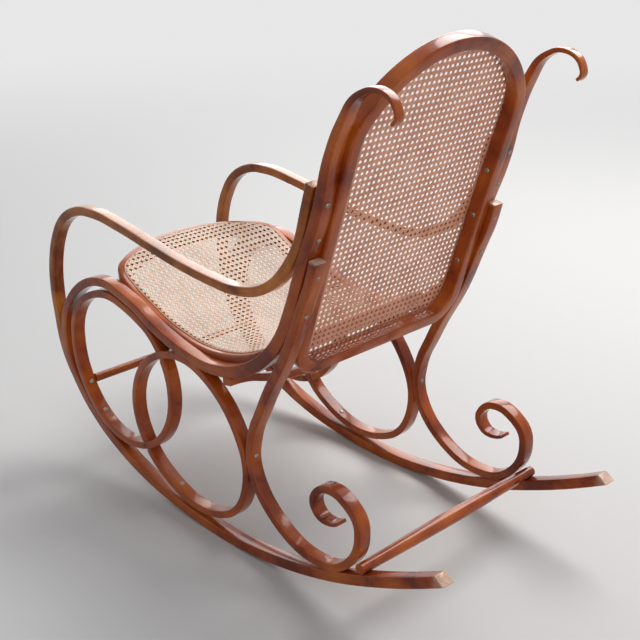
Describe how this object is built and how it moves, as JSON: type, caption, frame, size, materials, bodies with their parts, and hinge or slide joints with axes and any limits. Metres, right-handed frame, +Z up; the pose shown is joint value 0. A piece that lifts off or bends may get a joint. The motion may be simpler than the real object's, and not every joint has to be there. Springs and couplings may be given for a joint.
{
  "type": "bentwood rocking chair",
  "caption": "Bentwood rocking chair: scrolled side frames on long runners, looped arms, a caned saddle seat and a tall arched caned back.",
  "frame": {"origin": "on the floor under the middle of the chair's outer box, between the two runners", "axes": "+Z up, -Y towards the front (the way a sitter faces), +X to the sitter's left; the chair is symmetrical about X = 0"},
  "size_m": [0.513, 1.1815, 1.05],
  "materials": {
    "bentwood": "red-brown stained and varnished beech, semi-gloss",
    "cane": "natural woven cane, satin",
    "screws": "dulled steel"
  },
  "bodies": {
    "root": {"left_main_strip": "bentwood", "left_arm": "bentwood", "left_front_ring": "bentwood", "left_rear_ring": "bentwood", "left_rear_scroll": "bentwood", "right_main_strip": "bentwood", "right_arm": "bentwood", "right_front_ring": "bentwood", "right_rear_ring": "bentwood", "right_rear_scroll": "bentwood", "seat_frame": "bentwood", "back_frame": "bentwood", "front_stretcher": "bentwood", "rear_stretcher": "bentwood", "seat_brace": "bentwood", "seat_cane": "cane", "back_cane": "cane", "seat_spline": "cane", "back_spline": "cane", "left_frame_screws": "screws", "right_frame_screws": "screws", "back_frame_screws": "screws"}
  },
  "joints": []
}
